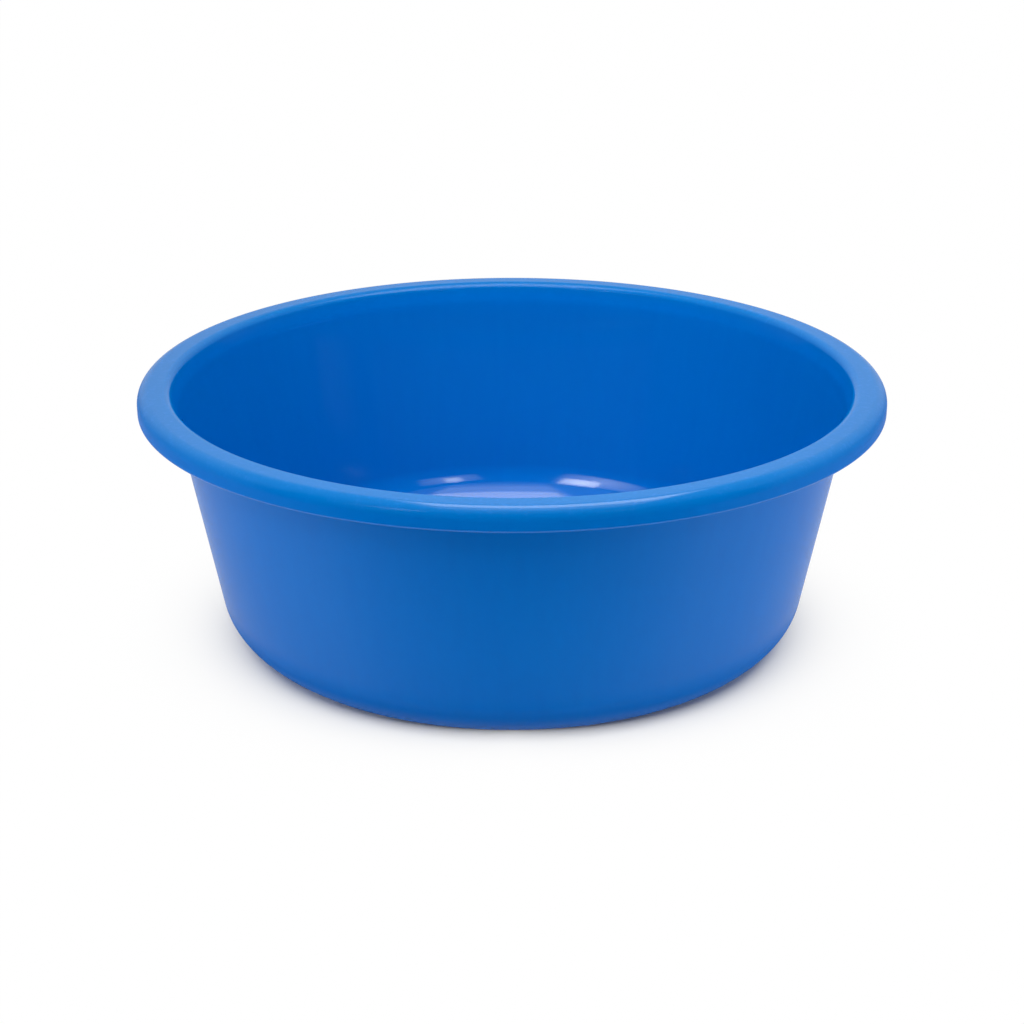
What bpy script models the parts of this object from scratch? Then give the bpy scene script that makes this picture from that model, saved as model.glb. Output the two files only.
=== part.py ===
"""Round plastic basin, moulded in one piece. Metres, +Z up, origin on the table under the centre."""
import math

import bpy
from mathutils import Vector

# The bowl. All radii are those of the sharp corners, before any rounding.
HEIGHT = 0.1291
WALL_TOP_RADIUS = 0.1635
BASE_RADIUS = 0.14085
WALL = 0.0012
FLOOR = 0.0017

# The neck, where the top of the wall flares out to the mouth
NECK_DEPTH = 0.01
NECK_FLARE = 0.001
NECK_ROUND = 0.03

# The rim, which turns out and down into a short skirt
RIM_WIDTH = 0.0155
SKIRT_DEPTH = 0.0102
MOUTH_ROUND = 0.0042
RIM_ROUND = 0.006
EDGE_ROUND = 0.0005

# The heel, where the wall rounds into the base. Its inside is the rounder one, so it is thickest at the foot.
HEEL_ROUND = 0.0261
HEEL_FILLING = 0.003

# The foot ring that the basin stands on, round a base that is raised off the table
FOOT_WIDTH = 0.004
FOOT_HEIGHT = 0.0018
FOOT_SIDE_RUN = 0.0012
FOOT_ROUND = 0.0006

# The mark that the plastic's inlet leaves: a stub in a shallow well, in the middle of the underside
GATE_WELL_RADIUS = 0.009
GATE_WELL_DEPTH = 0.0006
GATE_WELL_RUN = 0.0008
GATE_STUB_RADIUS = 0.0022
GATE_STUB_HEIGHT = 0.0009

# Facets of the turned shape, and of its roundings
TURN_STEPS = 80
HEEL_STEPS = 8
INNER_HEEL_STEPS = 9
NECK_STEPS = 2
ROLL_STEPS = 5
CHANNEL_STEPS = 3
EDGE_STEPS = 2

# How much of the span between two corners their roundings may take up together
ROUNDED_SHARE = 0.98

# The plastic
BASIN_BLUE = (0.0, 0.12, 0.478, 1.0)
ROUGHNESS = 0.3
WELD_DISTANCE = 0.00001


def clear_scene():
    for item in list(bpy.data.objects):
        bpy.data.objects.remove(item, do_unlink=True)


def plastic(name, colour, roughness):
    """One opaque, slightly glossy moulded plastic."""
    material = bpy.data.materials.new(name)
    material.use_nodes = True
    shader = material.node_tree.nodes["Principled BSDF"]
    shader.inputs["Base Color"].default_value = colour
    shader.inputs["Roughness"].default_value = roughness
    shader.inputs["Metallic"].default_value = 0.0
    material.diffuse_color = colour
    return material


def half_turn_of(before, corner, after):
    """Half of the angle that the outline turns by at a corner."""
    return (math.pi - (before - corner).angle(after - corner)) / 2


def rounded_corner(before, corner, after, cut, steps):
    """Points of the arc that cuts a corner off, the same length of both its sides, or the corner itself."""
    if cut <= 0:
        return [corner]
    back = (before - corner).normalized()
    ahead = (after - corner).normalized()
    start = corner + back * cut
    finish = corner + ahead * cut
    radius = cut / math.tan(half_turn_of(before, corner, after))
    centre = corner + (back + ahead).normalized() * math.hypot(radius, cut)
    first = start - centre
    sweep = first.angle_signed(finish - centre)
    arc = []
    for step in range(steps + 1):
        turn = -sweep * step / steps
        cosine, sine = math.cos(turn), math.sin(turn)
        arc.append(centre + Vector((first.x * cosine - first.y * sine, first.x * sine + first.y * cosine)))
    return arc


def rounded_outline(corners):
    """The whole outline, from corners given as (radius, height, rounding, steps). Roundings that would meet
    between two corners are both made smaller."""
    places = [Vector((radius, height)) for radius, height, rounding, steps in corners]
    inner = range(1, len(places) - 1)
    cuts = [0.0] * len(places)
    for index in inner:
        cuts[index] = corners[index][2] * math.tan(half_turn_of(*places[index - 1:index + 2]))
    fits = []
    for index, (first, second) in enumerate(zip(places, places[1:])):
        wanted = cuts[index] + cuts[index + 1]
        room = (second - first).length * ROUNDED_SHARE
        fits.append(room / wanted if wanted > room else 1)
    outline = [places[0]]
    for index in inner:
        cut = cuts[index] * min(fits[index - 1], fits[index])
        outline += rounded_corner(*places[index - 1:index + 2], cut, corners[index][3])
    outline.append(places[-1])
    return outline


def basin_corners():
    """Corners of the half section, from the middle of the floor out over the rim and back underneath."""
    draft = math.atan2(WALL_TOP_RADIUS + WALL - BASE_RADIUS, HEIGHT)
    wall_lean = math.tan(draft)
    inner_base_radius = BASE_RADIUS - WALL / math.cos(draft)
    floor_top = FOOT_HEIGHT + FLOOR
    neck_level = HEIGHT - NECK_DEPTH
    neck_inside = inner_base_radius + neck_level * wall_lean
    neck_outside = BASE_RADIUS + neck_level * wall_lean
    mouth_radius = WALL_TOP_RADIUS + NECK_FLARE
    neck_lean = (mouth_radius - neck_inside) / NECK_DEPTH
    rim_radius = mouth_radius + RIM_WIDTH
    rim_under = HEIGHT - WALL
    skirt_end = HEIGHT - SKIRT_DEPTH
    skirt_inside = rim_radius - WALL
    heel_cut = HEEL_ROUND * math.tan((math.pi / 2 - draft) / 2)
    foot_inside = BASE_RADIUS - heel_cut - FOOT_WIDTH
    recess_radius = foot_inside - FOOT_SIDE_RUN
    well_top = FOOT_HEIGHT + GATE_WELL_DEPTH
    stub_end = well_top - GATE_STUB_HEIGHT
    channel_round = max(MOUTH_ROUND - WALL, 0)
    skirt_round = max(RIM_ROUND - WALL, 0)
    return [
        (0, floor_top, 0, 0),
        (inner_base_radius + floor_top * wall_lean, floor_top, HEEL_ROUND + HEEL_FILLING, INNER_HEEL_STEPS),
        (neck_inside, neck_level, NECK_ROUND, NECK_STEPS),
        (mouth_radius, HEIGHT, MOUTH_ROUND, ROLL_STEPS),
        (rim_radius, HEIGHT, RIM_ROUND, ROLL_STEPS),
        (rim_radius, skirt_end, EDGE_ROUND, EDGE_STEPS),
        (skirt_inside, skirt_end, EDGE_ROUND, EDGE_STEPS),
        (skirt_inside, rim_under, skirt_round, CHANNEL_STEPS),
        (neck_outside + (rim_under - neck_level) * neck_lean, rim_under, channel_round, CHANNEL_STEPS),
        (neck_outside, neck_level, NECK_ROUND + WALL, NECK_STEPS),
        (BASE_RADIUS, 0, HEEL_ROUND, HEEL_STEPS),
        (foot_inside, 0, FOOT_ROUND, EDGE_STEPS),
        (recess_radius, FOOT_HEIGHT, FOOT_ROUND, EDGE_STEPS),
        (GATE_WELL_RADIUS, FOOT_HEIGHT, 0, 0),
        (GATE_WELL_RADIUS - GATE_WELL_RUN, well_top, 0, 0),
        (GATE_STUB_RADIUS, well_top, 0, 0),
        (GATE_STUB_RADIUS, stub_end, 0, 0),
        (0, stub_end, 0, 0),
    ]


def turned(name, outline, steps, material):
    """A closed round piece: the half section, screwed once about Z."""
    mesh = bpy.data.meshes.new(name)
    points = [(point.x, 0, point.y) for point in outline]
    edges = [(index, index + 1) for index in range(len(points) - 1)]
    mesh.from_pydata(points, edges, [])
    mesh.materials.append(material)
    piece = bpy.data.objects.new(name, mesh)
    bpy.context.scene.collection.objects.link(piece)
    screw = piece.modifiers.new("Turn", "SCREW")
    screw.axis = "Z"
    screw.angle = 2 * math.pi
    screw.steps = steps
    screw.render_steps = steps
    screw.use_merge_vertices = True
    screw.merge_threshold = WELD_DISTANCE
    screw.use_smooth_shade = True
    return piece


def build():
    clear_scene()
    blue = plastic("basin_plastic", BASIN_BLUE, ROUGHNESS)
    turned("basin", rounded_outline(basin_corners()), TURN_STEPS, blue)


build()
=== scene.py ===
import math

import bmesh
import bpy
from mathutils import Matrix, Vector


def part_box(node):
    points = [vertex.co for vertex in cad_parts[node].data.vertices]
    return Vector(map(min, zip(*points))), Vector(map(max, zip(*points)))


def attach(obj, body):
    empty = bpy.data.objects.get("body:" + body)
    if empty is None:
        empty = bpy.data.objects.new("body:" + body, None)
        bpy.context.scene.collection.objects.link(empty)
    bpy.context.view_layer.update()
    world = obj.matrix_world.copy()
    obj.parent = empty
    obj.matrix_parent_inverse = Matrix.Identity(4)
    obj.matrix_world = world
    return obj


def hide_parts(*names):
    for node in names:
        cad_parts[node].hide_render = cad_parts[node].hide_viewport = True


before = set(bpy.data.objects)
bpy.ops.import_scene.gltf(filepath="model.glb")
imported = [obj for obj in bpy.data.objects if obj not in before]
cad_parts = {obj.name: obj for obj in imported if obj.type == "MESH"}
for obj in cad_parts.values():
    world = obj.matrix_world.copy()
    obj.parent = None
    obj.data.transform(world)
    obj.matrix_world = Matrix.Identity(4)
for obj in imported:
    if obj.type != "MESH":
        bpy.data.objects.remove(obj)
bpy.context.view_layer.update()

# The basin. One injection moulding in blue polypropylene: a sloping wall that rounds into a base on a foot
# ring, and flares at the top into a rim that turns out and down in a short skirt. The mould's two halves meet
# under the skirt, and the plastic runs in at the middle of the underside and leaves a stub in a shallow well.
basin_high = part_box("basin")[1]
height = basin_high[2]
rim_radius = basin_high[0]
rim_width = 0.0155
base_radius = 0.14085
wall = 0.0012
floor_thickness = 0.0017
neck_depth = 0.01
neck_flare = 0.001
neck_round = 0.03
skirt_depth = 0.0102
mouth_round = 0.0042
rim_round = 0.006
edge_round = 0.0005
heel_round = 0.0261
heel_filling = 0.003
foot_width = 0.004
foot_height = 0.0018
foot_side_run = 0.0012
foot_round = 0.0006
gate_well_radius = 0.009
gate_well_depth = 0.0006
gate_well_run = 0.0008
gate_stub_radius = 0.0022
gate_stub_height = 0.0009
stub_round = 0.0003

# The facets of the whole turn, and of each rounding
turn_facets = 288
inner_heel_facets = 28
heel_facets = 24
roll_facets = 16
channel_facets = 10
neck_facets = 8
edge_facets = 6
foot_facets = 4
gate_facets = 3

mouth_radius = rim_radius - rim_width
draft = math.atan2(mouth_radius - neck_flare + wall - base_radius, height)
lean = math.tan(draft)
inner_base_radius = base_radius - wall / math.cos(draft)
floor_top = foot_height + floor_thickness
neck_level = height - neck_depth
neck_inside = inner_base_radius + neck_level * lean
neck_outside = base_radius + neck_level * lean
neck_lean = (mouth_radius - neck_inside) / neck_depth
rim_under = height - wall
skirt_end = height - skirt_depth
skirt_inside = rim_radius - wall
heel_cut = heel_round * math.tan((math.pi / 2 - draft) / 2)
foot_inside = base_radius - heel_cut - foot_width
recess_radius = foot_inside - foot_side_run
well_top = foot_height + gate_well_depth
stub_end = well_top - gate_stub_height

# The corners of the half section, from the middle of the floor out over the rim and back underneath, each as
# its radius, its height, its rounding and the facets of that rounding
corners = [
    (0, floor_top, 0, 0),
    (inner_base_radius + floor_top * lean, floor_top, heel_round + heel_filling, inner_heel_facets),
    (neck_inside, neck_level, neck_round, neck_facets),
    (mouth_radius, height, mouth_round, roll_facets),
    (rim_radius, height, rim_round, roll_facets),
    (rim_radius, skirt_end, edge_round, edge_facets),
    (skirt_inside, skirt_end, edge_round, edge_facets),
    (skirt_inside, rim_under, rim_round - wall, channel_facets),
    (neck_outside + (rim_under - neck_level) * neck_lean, rim_under, mouth_round - wall, channel_facets),
    (neck_outside, neck_level, neck_round + wall, neck_facets),
    (base_radius, 0, heel_round, heel_facets),
    (foot_inside, 0, foot_round, foot_facets),
    (recess_radius, foot_height, foot_round, foot_facets),
    (gate_well_radius, foot_height, stub_round, gate_facets),
    (gate_well_radius - gate_well_run, well_top, stub_round, gate_facets),
    (gate_stub_radius, well_top, stub_round, gate_facets),
    (gate_stub_radius, stub_end, stub_round, gate_facets),
    (0, stub_end, 0, 0),
]
weld_distance = 1e-6
ring_tolerance = 1e-5
largest_faces_lead = 100


def turned(outline, facets):
    """An outline of radii and heights, spun once about Z and closed where it meets the axis."""
    shape = bmesh.new()
    chain = [shape.verts.new((radius, 0, level)) for radius, level in outline]
    spans = [shape.edges.new(pair) for pair in zip(chain, chain[1:])]
    bmesh.ops.spin(
        shape, geom=chain + spans, cent=(0, 0, 0), axis=(0, 0, 1), angle=2 * math.pi,
        steps=facets, use_merge=True,
    )
    bmesh.ops.remove_doubles(shape, verts=shape.verts, dist=weld_distance)
    return shape


def round_ring(shape, radius, level, cut, facets):
    """Rounds off the ring of edges at a radius and a height, by the same cut into both its sides."""
    ring = [
        edge for edge in shape.edges
        if all(
            abs(vert.co.xy.length - radius) < ring_tolerance and abs(vert.co.z - level) < ring_tolerance
            for vert in edge.verts
        )
    ]
    bmesh.ops.bevel(
        shape, geom=ring, offset=cut, offset_type="OFFSET", affect="EDGES", segments=facets, profile=0.5,
        material=-1, clamp_overlap=True,
    )


def piece_from(shape, name):
    """An object with the finished shape as its mesh, shaded smooth."""
    mesh = bpy.data.meshes.new(name)
    shape.to_mesh(mesh)
    shape.free()
    mesh.shade_smooth()
    piece = bpy.data.objects.new(name, mesh)
    bpy.context.scene.collection.objects.link(piece)
    return piece


moulding = turned([corner[:2] for corner in corners], turn_facets)
bmesh.ops.recalc_face_normals(moulding, faces=moulding.faces)
for before, corner, after in zip(corners, corners[1:], corners[2:]):
    radius, corner_level, rounding, facets = corner
    back = Vector(before[:2]) - Vector(corner[:2])
    ahead = Vector(after[:2]) - Vector(corner[:2])
    turn = math.pi - back.angle(ahead)
    round_ring(moulding, radius, corner_level, rounding * math.tan(turn / 2), facets)
basin = piece_from(moulding, "basin_moulding")
even_shading = basin.modifiers.new("Even shading", "WEIGHTED_NORMAL")
even_shading.weight = largest_faces_lead

# Its plastic, coloured all through. The inside is glossy, the outside shines only where it slants away, and
# the land of the rim is between the two. The mould left a faint orange peel, and the colour drifts a little
# the way that the plastic flowed, out from the middle and up. Handling has scuffed the rim and the foot.
# The land of the rim has painted light: a duller blue that stands in for how its lit top looks.
basin_blue = (0.0, 0.103, 0.4, 1)
flow_blue = (0.0, 0.11, 0.412, 1)
# Painted light: the duller blue of the land stands in for how the lit top of the rim looks
painted_land_blue = (0.0, 0.11, 0.342, 1)
scuff_blue = (0.02, 0.15, 0.5, 1)
scuff_share = 0.35
plastic_ior = 1.49
skin_roughness = 0.08
inside_roughness = 0.14
outside_roughness = 0.3
worn_roughness = 0.4
inside_gloss = 0.8
rim_gloss = 0.48
front_gloss = 0.03
side_gloss = 0.38
edge_gloss = 0.9
front_slant = 0.15
side_slant = 0.36
skirt_share = 0.4
peel_height = 0.000012
wave_height = 0.0002

# The grain of each noise: one over the size of its cells, its detail and its roughness
streak_grain = (26, 3, 0.55)
cloud_grain = (9, 2, 0.5)
scratch_grain = (420, 4, 0.7)
patch_grain = (60, 3, 0.6)
peel_grain = (520, 2, 0.5)
wave_grain = (38, 1, 0.5)

# The part of a noise that counts, and how far patches change the roughness
drift_range = (0.35, 0.65)
scratch_range = (0.52, 0.7)
patch_range = (0.3, 0.7)
patch_shares = (0.9, 1.1)

plastic = bpy.data.materials.new("basin_plastic")
plastic.use_nodes = True
nodes = plastic.node_tree.nodes
links = plastic.node_tree.links
shader = nodes["Principled BSDF"]
shader.inputs["IOR"].default_value = plastic_ior
shader.inputs["Specular IOR Level"].default_value = 0
shader.inputs["Coat IOR"].default_value = plastic_ior
shader.inputs["Coat Roughness"].default_value = skin_roughness


def new_node(node_type, **settings):
    """A node in the material that is being made, with its settings."""
    node = nodes.new(node_type)
    for setting, value in settings.items():
        setattr(node, setting, value)
    return node


def feed(socket, value):
    """Gives a socket a fixed value, or one that another node works out."""
    if isinstance(value, (int, float, tuple)):
        socket.default_value = value
    else:
        links.new(value, socket)


def number_from(operation, first, second):
    """What an operation makes of two numbers."""
    node = new_node("ShaderNodeMath", operation=operation)
    feed(node.inputs[0], first)
    feed(node.inputs[1], second)
    return node.outputs["Value"]


def product(first, second):
    """Two numbers multiplied."""
    return number_from("MULTIPLY", first, second)


def place_from(operation, first, second):
    """What an operation makes of two places."""
    node = new_node("ShaderNodeVectorMath", operation=operation)
    feed(node.inputs[0], first)
    feed(node.inputs[1], second)
    return node.outputs["Vector"]


def length_of(vector):
    """How far a place is from the origin."""
    node = new_node("ShaderNodeVectorMath", operation="LENGTH")
    feed(node.inputs[0], vector)
    return node.outputs["Value"]


def noise(vector, scale, detail, roughness):
    """Noise over a place, with cells about as wide as one over the scale."""
    node = new_node("ShaderNodeTexNoise")
    feed(node.inputs["Vector"], vector)
    feed(node.inputs["Scale"], scale)
    feed(node.inputs["Detail"], detail)
    feed(node.inputs["Roughness"], roughness)
    return node.outputs["Fac"]


def span(value, low, high, new_low, new_high):
    """A number taken from one range to another, and kept inside it."""
    node = new_node("ShaderNodeMapRange")
    feed(node.inputs["Value"], value)
    feed(node.inputs["From Min"], low)
    feed(node.inputs["From Max"], high)
    feed(node.inputs["To Min"], new_low)
    feed(node.inputs["To Max"], new_high)
    return node.outputs["Result"]


def blend(factor, first, second):
    """A colour between two."""
    node = new_node("ShaderNodeMix", data_type="RGBA")
    feed(node.inputs["Factor"], factor)
    for name, colour in (("A", first), ("B", second)):
        feed(next(one for one in node.inputs if one.name == name and one.type == "RGBA"), colour)
    return next(one for one in node.outputs if one.type == "RGBA")


def bump(relief, relief_height):
    """A bump node for a relief that stands up to a height in metres."""
    node = new_node("ShaderNodeBump")
    feed(node.inputs["Strength"], 1)
    feed(node.inputs["Distance"], relief_height)
    feed(node.inputs["Height"], relief)
    return node


place = new_node("ShaderNodeTexCoord").outputs["Object"]
apart = new_node("ShaderNodeSeparateXYZ")
feed(apart.inputs["Vector"], place)
level = apart.outputs["Z"]
from_axis = place_from("MULTIPLY", place, (1, 1, 0))
reach = length_of(from_axis)

# The colour. The direction from the axis, added to the place, draws its noise into streaks that run outwards.
bearing = new_node("ShaderNodeVectorMath", operation="NORMALIZE")
feed(bearing.inputs[0], from_axis)
streaks = noise(place_from("ADD", bearing.outputs["Vector"], place), *streak_grain)
clouds = noise(place, *cloud_grain)
drift = number_from("ADD", product(streaks, 0.5), product(clouds, 0.5))
flow_colour = blend(span(drift, *drift_range, 0, 1), basin_blue, flow_blue)

# The top of the rim: real scuffs from handling, and the painted light on the land
rim_wear_and_painted_land = span(level, height - rim_round, height - wall / 4, 0, 1)
foot_wear = span(level, foot_height, 0, 0, 1)
handled = number_from("MAXIMUM", rim_wear_and_painted_land, foot_wear)
scuffs = product(handled, span(noise(place, *scratch_grain), *scratch_range, 0, 1))
past_mouth = span(reach, mouth_radius - mouth_round, mouth_radius, 0, 1)
# Painted light: the land of the rim is tinted a duller blue, for how its lit top looks
colour_with_painted_land = blend(product(rim_wear_and_painted_land, past_mouth), flow_colour, painted_land_blue)
feed(shader.inputs["Base Color"], blend(product(scuffs, scuff_share), colour_with_painted_land, scuff_blue))

# The outside of the skin: past the slope of the wall, underneath, and round the outer curve of the heel
past_slope = number_from("SUBTRACT", reach, product(level, lean))
outer_wall = span(past_slope, base_radius - wall, base_radius, 0, 1)
underside = span(level, floor_top, foot_height, 0, 1)
heel_middle = base_radius - heel_cut
heel_end = heel_round * (1 - math.sin(draft))
heel_place = new_node("ShaderNodeCombineXYZ")
feed(heel_place.inputs["X"], number_from("SUBTRACT", reach, heel_middle))
feed(heel_place.inputs["Y"], number_from("SUBTRACT", level, heel_round))
outer_heel = span(length_of(heel_place.outputs["Vector"]), heel_round - wall, heel_round, 0, 1)
outer_heel = product(outer_heel, span(level, heel_end, heel_end + wall, 1, 0))
outer_heel = product(outer_heel, span(reach, heel_middle - wall, heel_middle, 0, 1))
outside = number_from("MAXIMUM", number_from("MAXIMUM", outer_wall, underside), outer_heel)

# The sheen. Inside it ends below the neck. On the body it fades out into the heel, and it is weaker on the
# skirt, whose lower edge is bright. The land has its own.
slant = new_node("ShaderNodeLayerWeight")
feed(slant.inputs["Blend"], 0.5)
side_sheen = span(slant.outputs["Facing"], front_slant, side_slant, front_gloss, side_gloss)
side_sheen = product(side_sheen, span(level, heel_round / 2, heel_round, 0, 1))
side_sheen = product(side_sheen, span(level, skirt_end - wall, skirt_end, 1, skirt_share))
skirt_edge = span(level, skirt_end + edge_round, skirt_end + 2 * edge_round, edge_gloss, 0)
skirt_edge = product(skirt_edge, span(reach, skirt_inside - wall, skirt_inside, 0, 1))
side_sheen = product(outside, number_from("MAXIMUM", side_sheen, skirt_edge))
inside_sheen = span(outside, 0, 1, inside_gloss, 0)
inside_sheen = product(inside_sheen, span(level, neck_level - neck_depth, neck_level, 1, 0))
flat_land = product(span(level, height - rim_round / 2, height - wall / 2, 0, 1), past_mouth)
sheen = product(number_from("MAXIMUM", inside_sheen, side_sheen), number_from("SUBTRACT", 1, flat_land))
feed(shader.inputs["Coat Weight"], number_from("ADD", sheen, product(flat_land, rim_gloss)))

side_roughness = span(outside, 0, 1, inside_roughness, outside_roughness)
patches = span(noise(place, *patch_grain), *patch_range, *patch_shares)
worn = product(scuffs, worn_roughness - outside_roughness)
feed(shader.inputs["Roughness"], number_from("ADD", product(side_roughness, patches), worn))

orange_peel = bump(noise(place, *peel_grain), peel_height)
waviness = bump(noise(place, *wave_grain), wave_height)
feed(waviness.inputs["Normal"], orange_peel.outputs["Normal"])
feed(shader.inputs["Normal"], waviness.outputs["Normal"])

basin.data.materials.append(plastic)
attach(basin, "root")
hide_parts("basin")

# The camera. It stands about a metre in front of the basin with a short telephoto lens, and looks down on it
# at the photograph's angle.
camera_pitch = math.radians(21.93)
camera_distance = 0.9738
aim_height = 0.0557
focal_length = 68.44
sensor = 36
camera_data = bpy.data.cameras.new("camera")
camera_data.lens = focal_length
camera_data.sensor_width = sensor
camera = bpy.data.objects.new("camera", camera_data)
bpy.context.scene.collection.objects.link(camera)
camera.location = (
    0, -camera_distance * math.cos(camera_pitch), aim_height + camera_distance * math.sin(camera_pitch)
)
camera.rotation_euler = (math.pi / 2 - camera_pitch, 0, 0)
bpy.context.scene.camera = camera

# The floor and backdrop. One pale sheet of paper, flat under the basin and swept up all round it, and dark at
# the camera's side. Seen by the camera or in a reflection, it turns to plain white away from the basin, and
# keeps the basin's shadow near it.
sheet_radius = 2.6
sheet_height = 2.6
sweep_round = 0.8
sheet_facets = 96
sweep_facets = 16
paper_white = (0.8, 0.8, 0.8, 1)
studio_dark = (0.05, 0.05, 0.05, 1)
dark_from = -0.5
dark_to = -0.9

paper = turned([(0, 0), (sheet_radius, 0), (sheet_radius, sheet_height)], sheet_facets)
round_ring(paper, sheet_radius, 0, sweep_round, sweep_facets)
backdrop = piece_from(paper, "backdrop")

sheet_material = bpy.data.materials.new("backdrop_paper")
sheet_material.use_nodes = True
nodes = sheet_material.node_tree.nodes
links = sheet_material.node_tree.links
sheet_shader = nodes["Principled BSDF"]
sheet_shader.inputs["Roughness"].default_value = 1
sheet_shader.inputs["Specular IOR Level"].default_value = 0
sheet_place = new_node("ShaderNodeTexCoord").outputs["Object"]
sheet_apart = new_node("ShaderNodeSeparateXYZ")
feed(sheet_apart.inputs["Vector"], sheet_place)
dark = span(sheet_apart.outputs["Y"], dark_from, dark_to, 0, 1)
feed(sheet_shader.inputs["Base Color"], blend(dark, paper_white, studio_dark))

light_path = new_node("ShaderNodeLightPath")
reflected = number_from("ADD", light_path.outputs["Is Glossy Ray"], light_path.outputs["Is Transmission Ray"])
reflected = product(reflected, number_from("SUBTRACT", 1, dark))
seen = number_from("ADD", light_path.outputs["Is Camera Ray"], reflected)

# The shadow is kept whole near the axis. From the foot out it is halved again and again, up to its reach. At
# the sides that starts a little further out and goes more slowly.
shadow_from = 0.1232
shadow_halves = 10
shadow_reach = 0.058
side_start = 0.01
side_stretch = 0.45
distance = length_of(sheet_place)
sideways = number_from("DIVIDE", number_from("ABSOLUTE", sheet_apart.outputs["X"], 0), distance)
stretch = number_from("ADD", 1, product(sideways, side_stretch))
start = number_from("ADD", shadow_from, product(sideways, side_start))
beyond = number_from("DIVIDE", number_from("SUBTRACT", distance, start), stretch)
halves = span(beyond, 0, shadow_reach, 0, shadow_halves)
plain = number_from("SUBTRACT", 1, number_from("POWER", 0.5, halves))

plain_white = new_node("ShaderNodeEmission")
plain_white.inputs["Strength"].default_value = 1
sheet_mix = new_node("ShaderNodeMixShader")
feed(sheet_mix.inputs["Fac"], product(seen, plain))
links.new(sheet_shader.outputs["BSDF"], sheet_mix.inputs[1])
links.new(plain_white.outputs["Emission"], sheet_mix.inputs[2])
links.new(sheet_mix.outputs["Shader"], nodes["Material Output"].inputs["Surface"])
backdrop.data.materials.append(sheet_material)


# The lamps, out of the picture. The basin mirrors a soft box close above it and one at each side of the
# camera, each with a brighter one in it. The rest only light it: one high above, one in front, and at each
# side a weak fill above and a low reflector.
def softbox(name, place, aim, width, length, radiance, spread=180, mirrored=True):
    """A soft box at a place, that aims at another. Its radiance is what a mirror would show of it, without
    the grid that narrows its spread to an angle in degrees. Gloss may be kept from showing it."""
    lamp_data = bpy.data.lights.new(name, "AREA")
    lamp_data.shape = "RECTANGLE"
    lamp_data.size = width
    lamp_data.size_y = length
    lamp_data.spread = math.radians(spread)
    lamp_data.energy = radiance * math.pi * width * length * math.sin(lamp_data.spread / 2) ** 2
    lamp = bpy.data.objects.new(name, lamp_data)
    bpy.context.scene.collection.objects.link(lamp)
    lamp.location = place
    lamp.rotation_euler = (Vector(aim) - Vector(place)).to_track_quat("-Z", "Y").to_euler()
    lamp.visible_camera = False
    lamp.visible_glossy = mirrored


softbox(
    "high_softbox", place=(0, 0, 1.5), aim=(0, 0, 0),
    width=0.3, length=0.3, radiance=15, spread=40, mirrored=False,
)
softbox(
    "overhead_softbox", place=(0.045, -0.035, 0.5), aim=(0.045, -0.035, 0),
    width=0.34, length=0.51, radiance=0.95,
)
softbox(
    "overhead_glow", place=(0.045, -0.01, 0.495), aim=(0.045, -0.01, 0),
    width=0.31, length=0.42, radiance=1.5,
)
softbox(
    "overhead_bulb", place=(0.045, 0.02, 0.49), aim=(0.045, 0.02, 0),
    width=0.28, length=0.2, radiance=4.6,
)
softbox(
    "left_softbox", place=(-0.467, -0.458, 0.446), aim=(0.045, 0.135, 0.02),
    width=0.52, length=0.4, radiance=1.8, spread=44,
)
softbox(
    "left_bulb", place=(-0.33, -0.455, 0.54), aim=(0.045, 0.135, 0.02),
    width=0.2, length=0.2, radiance=5.2, spread=36,
)
softbox(
    "right_softbox", place=(0.33, -0.54, 0.48), aim=(-0.032, 0.138, 0.021),
    width=0.34, length=0.22, radiance=0.9, spread=40,
)
softbox(
    "right_bulb", place=(0.305, -0.53, 0.5), aim=(-0.032, 0.138, 0.021),
    width=0.09, length=0.16, radiance=2.7, spread=36,
)
for name, side, radiance in (("left_fill", -1, 0.4), ("right_fill", 1, 0.8)):
    softbox(
        name, place=(side * 0.45, 0.12, 0.62), aim=(-side * 0.11, 0.02, 0.06),
        width=0.3, length=0.3, radiance=radiance, spread=60, mirrored=False,
    )
softbox(
    "front_softbox", place=(0, -0.42, 0.55), aim=(0, -0.25, 0),
    width=0.5, length=0.2, radiance=5.6, spread=44, mirrored=False,
)
for name, side, radiance in (("left_reflector", -1, 6), ("right_reflector", 1, 7.4)):
    softbox(
        name, place=(side * 0.6, -0.25, 0.07), aim=(side * 0.15, -0.06, 0.05),
        width=0.8, length=0.13, radiance=radiance, mirrored=False,
    )

# The studio itself, which lights everything a little and evenly from all round.
studio_light = 0.55
world = bpy.data.worlds.new("studio")
bpy.context.scene.world = world
world.use_nodes = True
world.node_tree.nodes["Background"].inputs["Color"].default_value = (1, 1, 1, 1)
world.node_tree.nodes["Background"].inputs["Strength"].default_value = studio_light

bpy.context.scene.view_settings.view_transform = "Standard"
